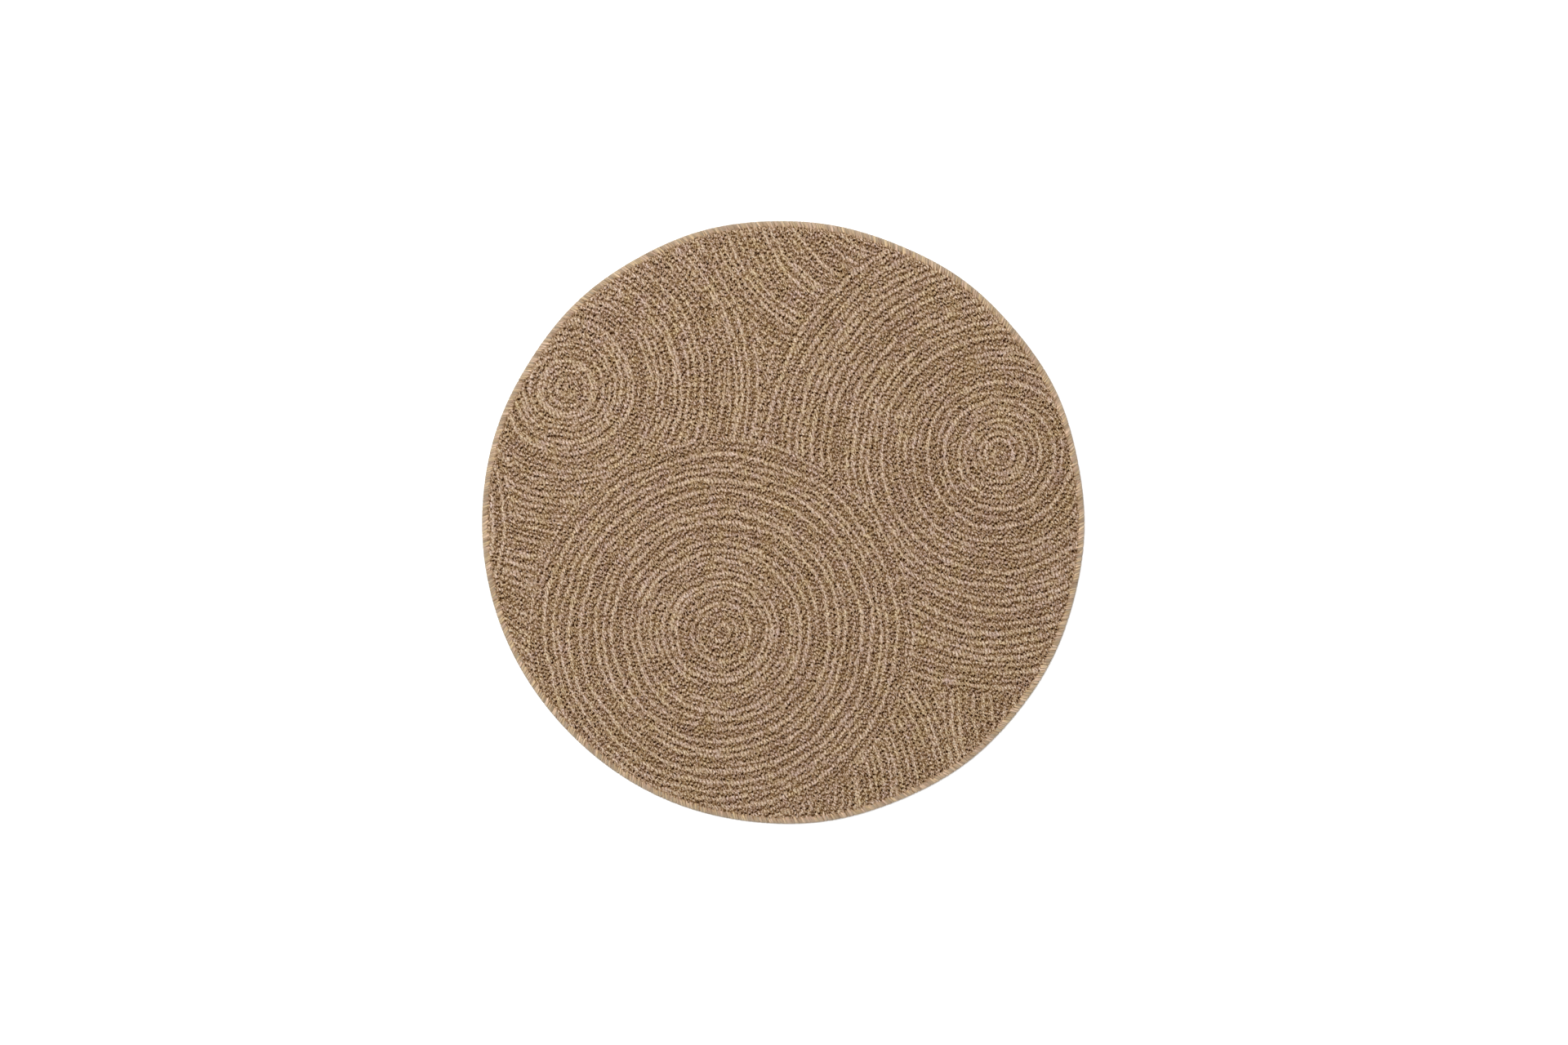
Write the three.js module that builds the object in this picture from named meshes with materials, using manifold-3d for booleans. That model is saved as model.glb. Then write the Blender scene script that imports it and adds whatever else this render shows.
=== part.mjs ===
// A round flat-woven rug, 1.2 m across: a disc of cloth with low raised rows that lie in
// overlapping sets of rings, and a sewn yarn edge that wraps the cut rim.
// Millimetres, +Z up. The origin is the centre of the underside, on the floor.

import * as THREE from 'three';
import { mergeVertices } from 'three/addons/utils/BufferGeometryUtils.js';
import Module from 'manifold-3d';

// Driving dimensions
const rugDiameter = 1200;
const clothThickness = 5.0;
const rowHeight = 0.8;
const valleyHeight = 0.1;
const rowRoot = 0.6;
const edgeWidth = 12;
const edgeHeight = 6.2;
const edgeWall = 1.2;
const edgeRoll = 2.6;
const edgeRollFacets = 4;
const lipLength = 2.4;
const lipDrop = 0.5;
const seatGap = 0.3;
const rimSegments = 120;
const ringFacetDepth = 1.3;
const fewestFacets = 9;
const setParting = 3;
const smallSetRadius = 384;
const largeSetRadius = 476;

// The slight unevenness of the hand-guided sewn edge: so many waves round the rim, how far
// each moves the edge out and in, and the bearing of one crest in degrees from +X.
const edgeWaves = [
  { waves: 2, size: 0.8, crest: -60 },
  { waves: 3, size: 0.35, crest: 40 },
  { waves: 4, size: 0.75, crest: 24 },
  { waves: 5, size: 0.85, crest: -36 },
  { waves: 10, size: 0.45, crest: -12 },
  { waves: 13, size: 0.55, crest: -2 },
  { waves: 14, size: 0.4, crest: 1 },
];

// The sets of rings, the front one first. Each covers the sets listed after it. A centre may
// lie off the rug, and then only a part of its rings is on it.
const ringSets = [
  { x: -125, y: -218, radius: smallSetRadius, pitch: 18.5 },
  { x: 430, y: 134, radius: largeSetRadius, pitch: 17 },
  { x: -930, y: 6, radius: smallSetRadius, pitch: 15 },
  { x: 197, y: 670, radius: smallSetRadius, pitch: 17 },
  { x: -432, y: 269, radius: smallSetRadius, pitch: 17 },
  { x: 700, y: -358, radius: smallSetRadius, pitch: 17 },
  { x: -31, y: -537, radius: smallSetRadius, pitch: 15 },
  { x: -746, y: -520, radius: largeSetRadius, pitch: 16 },
];

const rimRadius = rugDiameter / 2;
const clothRimRadius = rimRadius - edgeWall - seatGap;
const edgeInnerRadius = rimRadius - edgeWidth;

const wasm = await Module();
wasm.setup();

// How far the rim lies out from a true circle at an angle, in mm.
function rimUnevenness(angle) {
  let offset = 0;
  for (const wave of edgeWaves) {
    const crest = THREE.MathUtils.degToRad(wave.crest);
    offset += wave.size * Math.cos(wave.waves * (angle - crest));
  }
  return offset;
}

// Moves the points of a turned shape out or in with the rim. The centre stays where it is.
function followRim(geometry) {
  const position = geometry.attributes.position;
  for (let i = 0; i < position.count; i += 1) {
    const x = position.getX(i);
    const y = position.getY(i);
    const radius = Math.hypot(x, y);
    if (radius > 0) {
      const share = 1 + rimUnevenness(Math.atan2(y, x)) / rimRadius;
      position.setXY(i, x * share, y * share);
    }
  }
  return geometry;
}

// Turns a profile of [radius, height] pairs about the Z axis.
function turned(profile, segments) {
  const points = profile.map(([radius, height]) => new THREE.Vector2(radius, height));
  const geometry = new THREE.LatheGeometry(points, segments);
  geometry.rotateX(Math.PI / 2);
  return geometry;
}

// A closed solid for joining and cutting, from a geometry.
function solidOf(geometry) {
  const bare = geometry.clone();
  bare.deleteAttribute('normal');
  bare.deleteAttribute('uv');
  const merged = mergeVertices(bare, 1e-4);
  const mesh = new wasm.Mesh({
    numProp: 3,
    vertProperties: new Float32Array(merged.attributes.position.array),
    triVerts: new Uint32Array(merged.index.array),
  });
  mesh.merge();
  return new wasm.Manifold(mesh);
}

// A geometry again, from a solid.
function geometryOf(solid) {
  const mesh = solid.getMesh();
  const geometry = new THREE.BufferGeometry();
  const positions = new Float32Array(mesh.numVert * 3);
  for (let i = 0; i < mesh.numVert; i += 1) {
    for (let k = 0; k < 3; k += 1) {
      positions[3 * i + k] = mesh.vertProperties[mesh.numProp * i + k];
    }
  }
  geometry.setAttribute('position', new THREE.BufferAttribute(positions, 3));
  geometry.setIndex(new THREE.BufferAttribute(new Uint32Array(mesh.triVerts), 1));
  geometry.computeVertexNormals();
  return geometry;
}

// How many straight facets a ring needs, so that none lies further than a set depth inside it.
function facetCount(radius) {
  const halfAngle = Math.acos(Math.max(0, 1 - ringFacetDepth / radius));
  return Math.max(fewestFacets, Math.ceil(Math.PI / halfAngle));
}

// Joins two rings of points, the inner one first, with a band of triangles that face up where
// the rings run anticlockwise. Each ring is the index of its first point and its point count.
function bandBetween(inner, outer) {
  const triangles = [];
  let i = 0;
  let k = 0;
  while (i < inner.count || k < outer.count) {
    const here = inner.first + (i % inner.count);
    const there = outer.first + (k % outer.count);
    const innerIsNext = (i + 1) / inner.count < (k + 1) / outer.count;
    if (k >= outer.count || (i < inner.count && innerIsNext)) {
      triangles.push(here, there, inner.first + ((i + 1) % inner.count));
      i += 1;
    } else {
      triangles.push(here, there, outer.first + ((k + 1) % outer.count));
      k += 1;
    }
  }
  return triangles;
}

// A disc whose top rises and falls in rings, a ridge to each row, from the rim inwards.
function ringedDisc(set) {
  const positions = [];
  const triangles = [];
  const rings = [];
  const addRing = (radius, height, count) => {
    const ring = { first: positions.length / 3, count };
    for (let i = 0; i < count; i += 1) {
      const angle = (2 * Math.PI * i) / count;
      positions.push(radius * Math.cos(angle), radius * Math.sin(angle), height);
    }
    return ring;
  };
  const rowCount = Math.floor(set.radius / set.pitch);
  for (let row = rowCount; row > 0; row -= 1) {
    const valley = set.radius - (row - 1) * set.pitch;
    const count = facetCount(valley);
    rings.push(addRing(valley - set.pitch / 2, clothThickness + rowHeight, count));
    rings.push(addRing(valley, clothThickness + valleyHeight, count));
  }
  const rim = rings[rings.length - 1];
  const base = addRing(set.radius, clothThickness - rowRoot, rim.count);
  const middle = addRing(0, clothThickness + valleyHeight, 1);
  const baseMiddle = addRing(0, clothThickness - rowRoot, 1);
  const innermost = rings[0];
  for (let i = 0; i < innermost.count; i += 1) {
    triangles.push(middle.first, innermost.first + i, innermost.first + ((i + 1) % innermost.count));
  }
  for (let k = 1; k < rings.length; k += 1) {
    triangles.push(...bandBetween(rings[k - 1], rings[k]));
  }
  triangles.push(...bandBetween(rim, base));
  for (let i = 0; i < base.count; i += 1) {
    triangles.push(baseMiddle.first, base.first + ((i + 1) % base.count), base.first + i);
  }
  const geometry = new THREE.BufferGeometry();
  geometry.setAttribute('position', new THREE.Float32BufferAttribute(positions, 3));
  geometry.setIndex(triangles);
  geometry.translate(set.x, set.y, 0);
  return geometry;
}

// An upright cylinder through the height of the rows, to trim a set with.
function trimmer(radius, segments) {
  const top = clothThickness + 2 * rowHeight;
  return turned([[0, 0], [radius, 0], [radius, top], [0, top]], segments);
}

// The raised rows of one set, with what lies under the sets in front of it cut away.
function rowsOfSet(set, setsInFront, rowsEnd) {
  let solid = solidOf(ringedDisc(set)).intersect(rowsEnd);
  for (const front of setsInFront) {
    const radius = front.radius + setParting;
    const cutter = trimmer(radius, facetCount(radius));
    cutter.translate(front.x, front.y, 0);
    solid = solid.subtract(solidOf(cutter));
  }
  return solid;
}

// The cloth: a flat disc, pressed thinner under the sewn edge, with its raised rows.
function wovenField() {
  const pressedBottom = edgeWall + seatGap;
  const pressedTop = edgeHeight - edgeWall - seatGap;
  const pressedFrom = edgeInnerRadius - seatGap;
  const profile = [
    [0, 0],
    [pressedFrom, 0],
    [pressedFrom, pressedBottom],
    [clothRimRadius, pressedBottom],
    [clothRimRadius, pressedTop],
    [pressedFrom, pressedTop],
    [pressedFrom, clothThickness],
    [0, clothThickness],
  ];
  const disc = solidOf(followRim(turned(profile, rimSegments)));
  const rowsEnd = solidOf(followRim(trimmer(pressedFrom - setParting, rimSegments)));
  const parts = [disc];
  ringSets.forEach((set, order) => {
    parts.push(rowsOfSet(set, ringSets.slice(0, order), rowsEnd));
  });
  return geometryOf(wasm.Manifold.union(parts));
}

// The sewn edge: a rounded channel of yarn that holds the rim on three sides. Its flat
// underside lies on the floor, and its top slopes down to a lip on the cloth.
function sergedEdge() {
  const slotEnd = rimRadius - edgeWall;
  const profile = [[edgeInnerRadius, 0]];
  for (let i = 0; i <= edgeRollFacets; i += 1) {
    const angle = -Math.PI / 2 + (Math.PI * i) / edgeRollFacets;
    const radius = rimRadius - edgeRoll * (1 - Math.cos(angle));
    const height = (edgeHeight / 2) * (1 + Math.sin(angle));
    profile.push([radius, height]);
  }
  profile.push(
    [edgeInnerRadius + lipLength, edgeHeight],
    [edgeInnerRadius, edgeHeight - lipDrop],
    [edgeInnerRadius, edgeHeight - edgeWall],
    [slotEnd, edgeHeight - edgeWall],
    [slotEnd, edgeWall],
    [edgeInnerRadius, edgeWall],
    [edgeInnerRadius, 0],
  );
  return geometryOf(solidOf(followRim(turned(profile, rimSegments))));
}

// Yarn colours: a heathered brown field and a lighter tan edge.
const fieldCloth = new THREE.MeshStandardMaterial({
  color: 0x997e65,
  roughness: 0.95,
  metalness: 0,
});
const edgeYarn = new THREE.MeshStandardMaterial({
  color: 0xb59b80,
  roughness: 0.9,
  metalness: 0,
});

const field = new THREE.Mesh(wovenField(), fieldCloth);
field.name = 'woven_field';

const edge = new THREE.Mesh(sergedEdge(), edgeYarn);
edge.name = 'serged_edge';

const rug = new THREE.Group();
rug.add(field, edge);

// The uneven rim is set so that the middle of its width and depth lies over the origin.
const reach = new THREE.Box3().setFromObject(edge);
rug.position.x = -(reach.min.x + reach.max.x) / 2;
rug.position.y = -(reach.min.y + reach.max.y) / 2;

export default rug;
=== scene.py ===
"""A round flat-woven rug seen from straight above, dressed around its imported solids.

The cloth lies face up. Its face is a half-drop weave of short slanted stitches of heathered
yarn, with flat crosswise picks between them, on a brown ground. Overlapping sets of rings are
woven in: in a light row the stitches stand full and close and the picks are tan, and between
the rows the stitches are thin and the picks nearly black. A tan yarn is sewn over and over
round the cut rim. Lengths are in millimetres until a mesh is made. The studio's are in metres.
"""

import logging
import math
from dataclasses import dataclass, field
from enum import Enum

import bpy
import numpy as np
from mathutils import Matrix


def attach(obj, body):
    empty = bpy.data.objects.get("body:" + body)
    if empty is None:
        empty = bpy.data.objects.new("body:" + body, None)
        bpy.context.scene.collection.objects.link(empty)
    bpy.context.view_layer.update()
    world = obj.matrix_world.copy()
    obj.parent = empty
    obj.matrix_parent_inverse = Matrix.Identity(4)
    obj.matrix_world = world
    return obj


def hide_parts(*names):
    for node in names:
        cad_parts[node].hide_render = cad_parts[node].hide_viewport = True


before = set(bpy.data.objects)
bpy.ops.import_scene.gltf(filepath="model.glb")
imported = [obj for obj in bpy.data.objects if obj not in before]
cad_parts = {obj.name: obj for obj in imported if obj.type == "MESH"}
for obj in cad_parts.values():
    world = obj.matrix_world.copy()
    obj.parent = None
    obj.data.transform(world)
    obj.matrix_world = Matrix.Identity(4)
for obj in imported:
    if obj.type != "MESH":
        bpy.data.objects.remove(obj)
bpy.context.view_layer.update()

log = logging.getLogger("rug")

MM = 0.001
BODY = "root"
FULL_TURN = 2 * math.pi

# The photograph's frame, and where the rug lies in it.
FRAME_WIDTH_PX = 1920
FRAME_HEIGHT_PX = 1280
RUG_CENTRE_PX = (959.0, 639.8)
RUG_RADIUS_PX = 369.1

# The rug's main sizes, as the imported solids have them.
RIM_RADIUS = 600.0
EDGE_WIDTH = 12.0

# The loom's columns, which the stitches, the ground and the back of the weave share.
COLUMN_PITCH = 6.34
COLUMN_BEARING_DEG = -71.0

# The two sizes of a set of rings.
SMALL_SET = 384.0
LARGE_SET = 476.0

# Halfway for a number that goes from nought to one: a tone, a warmth or a place on a ramp.
HALFWAY = 0.5

# The place and the sRGB hex colour of each stop on a ramp, and the wavelength and size of each
# swell in a smooth field.
Stops = tuple[tuple[float, str], ...]
Swells = tuple[tuple[float, float], ...]


def srgb(code: str) -> tuple[float, float, float, float]:
    """Turn an sRGB hex colour into the linear colour that a shader socket takes.

    Args:
        code: six hex digits with a leading hash.

    Returns:
        Red, green, blue and an alpha of one.
    """
    channels = [int(code[i : i + 2], 16) / 255 for i in (1, 3, 5)]
    # The standard sRGB curve: straight near black, and a power above that.
    linear = [c / 12.92 if c <= 0.04045 else ((c + 0.055) / 1.055) ** 2.4 for c in channels]
    return (linear[0], linear[1], linear[2], 1.0)


def add_node(
    tree: bpy.types.NodeTree,
    kind: str,
    inputs: dict[str | int, object] | None = None,
    **settings: object,
) -> bpy.types.Node:
    """Add a node with its settings, values and links.

    Args:
        tree: the node tree that gets it.
        kind: the node's type name.
        inputs: for each input's name or index, a value or the output that feeds it.
        settings: the node's own properties.

    Returns:
        The new node.
    """
    node = tree.nodes.new(kind)
    for name, value in settings.items():
        setattr(node, name, value)
    for key, value in (inputs or {}).items():
        socket = node.inputs[key]
        if isinstance(value, bpy.types.NodeSocket):
            tree.links.new(value, socket)
        else:
            socket.default_value = value
    return node


def new_material(name: str) -> tuple[bpy.types.Material, bpy.types.NodeTree]:
    """Make an empty node material.

    Args:
        name: what the material is.

    Returns:
        The material and its node tree.
    """
    material = bpy.data.materials.new(name)
    material.use_nodes = True
    material.node_tree.nodes.clear()
    return material, material.node_tree


def slanted_fibres(
    tree: bpy.types.NodeTree, bearing_deg: float, sizes: tuple[float, float, float]
) -> bpy.types.NodeSocket:
    """Make a pattern of short fibres that all slant one way over the rug.

    Args:
        tree: the material's node tree.
        bearing_deg: the way they run, from +X.
        sizes: how long, wide and deep a fibre is.

    Returns:
        How high the fibres stand at each place, about a half.
    """
    place = add_node(tree, "ShaderNodeTexCoord")
    turned = add_node(
        tree,
        "ShaderNodeMapping",
        {"Vector": place.outputs["Object"], "Rotation": (0.0, 0.0, math.radians(-bearing_deg))},
    )
    stretched = add_node(
        tree,
        "ShaderNodeMapping",
        {"Vector": turned.outputs[0], "Scale": [1 / (size * MM) for size in sizes]},
    )
    fibres = add_node(
        tree, "ShaderNodeTexNoise", {"Vector": stretched.outputs[0], "Scale": 1.0, "Detail": 1.0}
    )
    return fibres.outputs[0]


def phase_across(
    tree: bpy.types.NodeTree, bearing_deg: float, pitch: float
) -> bpy.types.NodeSocket:
    """Measure how far each place lies along a bearing, as an angle.

    Args:
        tree: the material's node tree.
        bearing_deg: the way to measure, from +X.
        pitch: the distance in which the angle makes a full turn.

    Returns:
        The angle at each place, in radians.
    """
    bearing, rate = math.radians(bearing_deg), FULL_TURN / (pitch * MM)
    step = (rate * math.cos(bearing), rate * math.sin(bearing), 0.0)
    place = add_node(tree, "ShaderNodeTexCoord")
    phase = add_node(
        tree,
        "ShaderNodeVectorMath",
        {0: place.outputs["Object"], 1: step},
        operation="DOT_PRODUCT",
    )
    return phase.outputs["Value"]


def mesh_object(
    name: str, points: np.ndarray, faces: list[tuple[int, ...]], smooth: bool = True
) -> bpy.types.Object:
    """Make an object from points in millimetres.

    Args:
        name: the object's name.
        points: one row for each point.
        faces: the point numbers of each face.
        smooth: whether the faces are shaded smooth.

    Returns:
        The object, in the scene and at the origin.
    """
    mesh = bpy.data.meshes.new(name)
    mesh.from_pydata((np.asarray(points, float) * MM).tolist(), [], faces)
    mesh.validate()
    mesh.polygons.foreach_set("use_smooth", [smooth] * len(mesh.polygons))
    mesh.update()
    thing = bpy.data.objects.new(name, mesh)
    bpy.context.scene.collection.objects.link(thing)
    return thing


def write_numbers(thing: bpy.types.Object, numbers: dict[str, np.ndarray]) -> None:
    """Keep numbers on the points of a mesh, for its material or a node tree to read.

    Args:
        thing: the object.
        numbers: for each attribute's name, a number for each point.
    """
    for name, values in numbers.items():
        layer = thing.data.attributes.new(name, "FLOAT", "POINT")
        layer.data.foreach_set("value", values.astype(np.float32))


def joined(name: str, parts: list[bpy.types.Object]) -> bpy.types.Object:
    """Join objects into the first one.

    Args:
        name: the name that the whole gets.
        parts: the objects.

    Returns:
        The whole.
    """
    with bpy.context.temp_override(
        active_object=parts[0], selected_editable_objects=parts, selected_objects=parts
    ):
        bpy.ops.object.join()
    parts[0].name = name
    parts[0].data.name = name
    return parts[0]


def triangle_count(thing: bpy.types.Object) -> int:
    """Count the triangles that an object's mesh makes."""
    return sum(len(face.vertices) - 2 for face in thing.data.polygons)


def band_between(inner: list[int], outer: list[int]) -> list[tuple[int, int, int]]:
    """Join two rings of points with triangles, whatever the number of points in each.

    Args:
        inner: the point numbers of the inner ring, anticlockwise, or of the middle alone.
        outer: the point numbers of the outer ring, anticlockwise.

    Returns:
        The triangles, facing up.
    """
    faces = []
    i = k = 0
    while i < len(inner) or k < len(outer):
        here, there = inner[i % len(inner)], outer[k % len(outer)]
        inner_is_next = (i + 1) * len(outer) < (k + 1) * len(inner)
        if k >= len(outer) or (i < len(inner) and inner_is_next):
            i += 1
            faces.append((here, there, inner[i % len(inner)]))
        else:
            k += 1
            faces.append((here, there, outer[k % len(outer)]))
    return [face for face in faces if len(set(face)) == 3]


@dataclass(frozen=True)
class EdgeWave:
    """One wave of the rim: how many go round, how far each reaches, and where one crests."""

    waves: int
    size: float
    crest_deg: float


@dataclass(frozen=True)
class Rim:
    """The slightly uneven outline of the cut cloth and its sewn edge."""

    radius: float = RIM_RADIUS
    waves: tuple[EdgeWave, ...] = (
        EdgeWave(2, 0.8, -60),
        EdgeWave(3, 0.35, 40),
        EdgeWave(4, 0.75, 24),
        EdgeWave(5, 0.85, -36),
        EdgeWave(10, 0.45, -12),
        EdgeWave(13, 0.55, -2),
        EdgeWave(14, 0.4, 1),
    )
    # How many bearings the middle of the outline is worked out from.
    bearings: int = 3600

    def unevenness(self, angle: np.ndarray) -> np.ndarray:
        """How far the rim lies out from a true circle.

        Args:
            angle: bearings from +X, in radians.

        Returns:
            The offset at each bearing.
        """
        offset = np.zeros_like(angle)
        for wave in self.waves:
            offset += wave.size * np.cos(wave.waves * (angle - math.radians(wave.crest_deg)))
        return offset

    def shift(self) -> np.ndarray:
        """Find the move that puts the middle of the outline over the origin, as in the solids.

        Returns:
            The move, as x, y and z.
        """
        angle = np.linspace(0, FULL_TURN, self.bearings, endpoint=False)
        reach = self.radius + self.unevenness(angle)
        x, y = reach * np.cos(angle), reach * np.sin(angle)
        return np.array([-(x.min() + x.max()) / 2, -(y.min() + y.max()) / 2, 0.0])

    def follow(self, points: np.ndarray) -> np.ndarray:
        """Move points out or in with the rim, in proportion to how far out they lie.

        Args:
            points: one row of x, y, z for each point.

        Returns:
            The moved points.
        """
        share = 1 + self.unevenness(np.arctan2(points[:, 1], points[:, 0])) / self.radius
        moved = points.copy()
        moved[:, :2] *= share[:, None]
        return moved + self.shift()

    def turned(
        self, profile: list[tuple[float, float]], segments: int
    ) -> tuple[np.ndarray, list[tuple[int, ...]]]:
        """Turn a profile about the middle and let it follow the rim.

        Args:
            profile: radius and height of each corner, anticlockwise as seen with the middle at
                the left. A corner on the axis becomes one point, and a profile that starts
                there is left open.
            segments: how many steps go round.

        Returns:
            The points, and the faces with their fronts outwards.
        """
        points: list[tuple[float, float, float]] = []
        rings: list[list[int]] = []
        for radius, height in profile:
            if radius == 0:
                rings.append([len(points)] * segments)
                points.append((0.0, 0.0, height))
                continue
            rings.append(list(range(len(points), len(points) + segments)))
            for i in range(segments):
                angle = FULL_TURN * i / segments
                points.append((radius * math.cos(angle), radius * math.sin(angle), height))
        faces: list[tuple[int, ...]] = []
        closed = profile[0][0] > 0
        for k in range(len(rings) if closed else len(rings) - 1):
            low, high = rings[k], rings[(k + 1) % len(rings)]
            for i in range(segments):
                j = (i + 1) % segments
                faces.append(tuple(dict.fromkeys((low[i], low[j], high[j], high[i]))))
        return self.follow(np.array(points)), faces


@dataclass(frozen=True)
class SmoothField:
    """A seeded field over the plane that swells and sinks smoothly about a middle value."""

    swells: Swells
    seed: int
    middle: float = 0.0
    waves: int = 16
    # The shortest and longest wave in a swell, for a wavelength of one.
    wave_range: tuple[float, float] = (0.7, 1.5)

    def at(self, x: np.ndarray, y: np.ndarray) -> np.ndarray:
        """Read the field.

        Args:
            x: places across the rug.
            y: places up the rug.

        Returns:
            The field at each place. Each swell spreads it by about the swell's size.
        """
        total = np.full(x.shape, self.middle)
        for k, (wavelength, size) in enumerate(self.swells):
            random = np.random.default_rng(self.seed + k)
            swell = np.zeros(x.shape)
            for _ in range(self.waves):
                bearing, turn = random.uniform(0, FULL_TURN, 2)
                rate = FULL_TURN / (wavelength * random.uniform(*self.wave_range))
                swell += np.cos(rate * (x * math.cos(bearing) + y * math.sin(bearing)) + turn)
            # The root brings the spread of the sum of waves to about one.
            total += size * (swell * math.sqrt(2 / self.waves))
        return total


@dataclass(frozen=True)
class RingSet:
    """One set of concentric rows.

    The rows start at the first radius, and their pitch goes evenly from the inner to the
    outer one. The bold radii are the rows that stand out.
    """

    x: float
    y: float
    radius: float
    first: float
    inner_pitch: float
    outer_pitch: float
    bold: tuple[float, ...] = ()


@dataclass(frozen=True)
class RowWave:
    """One slow change along a row: its length, and how far it fades and sways the row.

    The fade is a share of the row's lightness, and the sway is a share of the pitch.
    """

    arc: float
    fade: float
    sway: float


@dataclass(frozen=True)
class RingPattern:
    """The woven-in rings: which set lies uppermost at a point, and how light its row is."""

    # The sets of rings, the front one first.
    sets: tuple[RingSet, ...] = (
        RingSet(-125, -218, SMALL_SET, 18, 14.0, 14.5, (99, 161, 218, 280, 302, 351)),
        RingSet(430, 134, LARGE_SET, 10, 14.0, 14.0, (27, 110, 145, 225, 263, 403, 464)),
        RingSet(-930, 6, SMALL_SET, 8, 12.5, 12.5, (374,)),
        RingSet(197, 670, SMALL_SET, 8, 13.5, 13.5, (195, 240, 256, 323)),
        RingSet(-432, 269, SMALL_SET, 4, 13.5, 13.0, (56, 109, 131, 229, 349, 382)),
        RingSet(700, -358, SMALL_SET, 8, 14.5, 14.5, (329, 366)),
        RingSet(-31, -537, SMALL_SET, 8, 12.5, 12.5, (180, 232)),
        RingSet(-746, -520, LARGE_SET, 8, 13.5, 13.5),
    )
    # How far the rows wander in and out, and how light the weave is where no set lies.
    wander: Swells = ((130.0, 1.0), (45.0, 0.35))
    plain: float = 0.5
    plain_mottle: Swells = ((18.0, 0.2),)
    # A row's half-width as a share of the pitch, how far it spills past that, and how steeply
    # its sides fall.
    row_share: float = 0.212
    row_spill: float = 1.05
    row_power: int = 6
    row_waves: tuple[RowWave, ...] = (
        RowWave(260.0, 0.2, 0.13),
        RowWave(110.0, 0.16, 0.05),
        RowWave(50.0, 0.12, 0.02),
    )
    # A row that comes within this share of the pitch of a bold radius moves onto it.
    bold_catch: float = 0.5
    bold_strength: float = 1.1
    bold_share: float = 1.12
    # The least and most, by chance, of a row's strength, its width, the way to the next row
    # and the length of a wave along it.
    strengths: tuple[float, float] = (0.5, 1.1)
    shares: tuple[float, float] = (0.78, 1.22)
    steps: tuple[float, float] = (0.78, 1.3)
    arcs: tuple[float, float] = (0.8, 1.25)
    lightest: float = 1.2
    # How far apart the lightness is compared to draw stitches towards a row, and the least
    # difference that draws them fully.
    pull_step: float = 3.0
    pull_rise: float = 0.5
    seed: int = 11
    first_set_seed: int = 77

    def uppermost(self, x: np.ndarray, y: np.ndarray) -> np.ndarray:
        """Find the front set at each point.

        Args:
            x: places across the rug.
            y: places up the rug.

        Returns:
            The set's number at each place, or -1 where there is none.
        """
        number = np.full(x.shape, -1)
        for k in reversed(range(len(self.sets))):
            rings = self.sets[k]
            number[np.hypot(x - rings.x, y - rings.y) < rings.radius] = k
        return number

    def lightness(self, x: np.ndarray, y: np.ndarray) -> np.ndarray:
        """How light the weave is, from 0 between rows to 1 or a little more on a bold row.

        Args:
            x: places across the rug.
            y: places up the rug.

        Returns:
            The lightness at each place.
        """
        wander = SmoothField(self.wander, self.seed).at(x, y)
        mottle_seed = self.seed + len(self.wander)
        light = SmoothField(self.plain_mottle, mottle_seed, self.plain).at(x, y)
        number = self.uppermost(x, y)
        for k, rings in enumerate(self.sets):
            here = number == k
            if here.any():
                dx, dy = x[here] - rings.x, y[here] - rings.y
                random = np.random.default_rng(self.first_set_seed + k)
                reach = np.hypot(dx, dy) + wander[here]
                light[here] = self.rows(rings, reach, np.arctan2(dy, dx), random)
        return np.clip(light, 0, self.lightest)

    def rows(
        self, rings: RingSet, reach: np.ndarray, angle: np.ndarray, random: np.random.Generator
    ) -> np.ndarray:
        """Lay one set's rows from the middle outwards, near even, and set on its bold rows.

        Args:
            rings: the set.
            reach: how far each place lies from the set's middle.
            angle: each place's bearing from the set's middle.
            random: the set's own random numbers.

        Returns:
            The lightness at each place.
        """
        light = np.zeros(reach.shape)
        radius = float(rings.first)
        while radius < rings.radius:
            pitch = np.interp(radius, (0, rings.radius), (rings.inner_pitch, rings.outer_pitch))
            near = [b for b in rings.bold if abs(b - radius) < pitch * self.bold_catch]
            if near:
                radius, strength = near[0], self.bold_strength
                share = self.row_share * self.bold_share
            else:
                strength = random.uniform(*self.strengths)
                share = self.row_share * random.uniform(*self.shares)
            fade = np.ones(reach.shape)
            sway = np.zeros(reach.shape)
            for wave in self.row_waves:
                arc = wave.arc * random.uniform(*self.arcs)
                count = max(1, round(FULL_TURN * radius / arc))
                fade += wave.fade * np.cos(count * angle + random.uniform(0, FULL_TURN))
                sway += wave.sway * pitch * np.cos(count * angle + random.uniform(0, FULL_TURN))
            half_width = share * pitch * self.row_spill
            band = np.exp(-(((reach - radius - sway) / half_width) ** self.row_power))
            light = np.maximum(light, strength * fade * band)
            radius += pitch * random.uniform(*self.steps)
        return light

    def drawn(self, places: np.ndarray, pull: float) -> np.ndarray:
        """Draw places towards the middle of a light row, or of a dark one.

        Args:
            places: one row of x, y for each place.
            pull: the furthest move, negative towards a dark row.

        Returns:
            The moved places.
        """
        x, y, step = places[:, 0], places[:, 1], self.pull_step
        rise = np.column_stack(
            [
                self.lightness(x + step, y) - self.lightness(x - step, y),
                self.lightness(x, y + step) - self.lightness(x, y - step),
            ]
        )
        size = np.linalg.norm(rise, axis=1)[:, None]
        return places + pull * rise / np.maximum(size, self.pull_rise)


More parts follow.
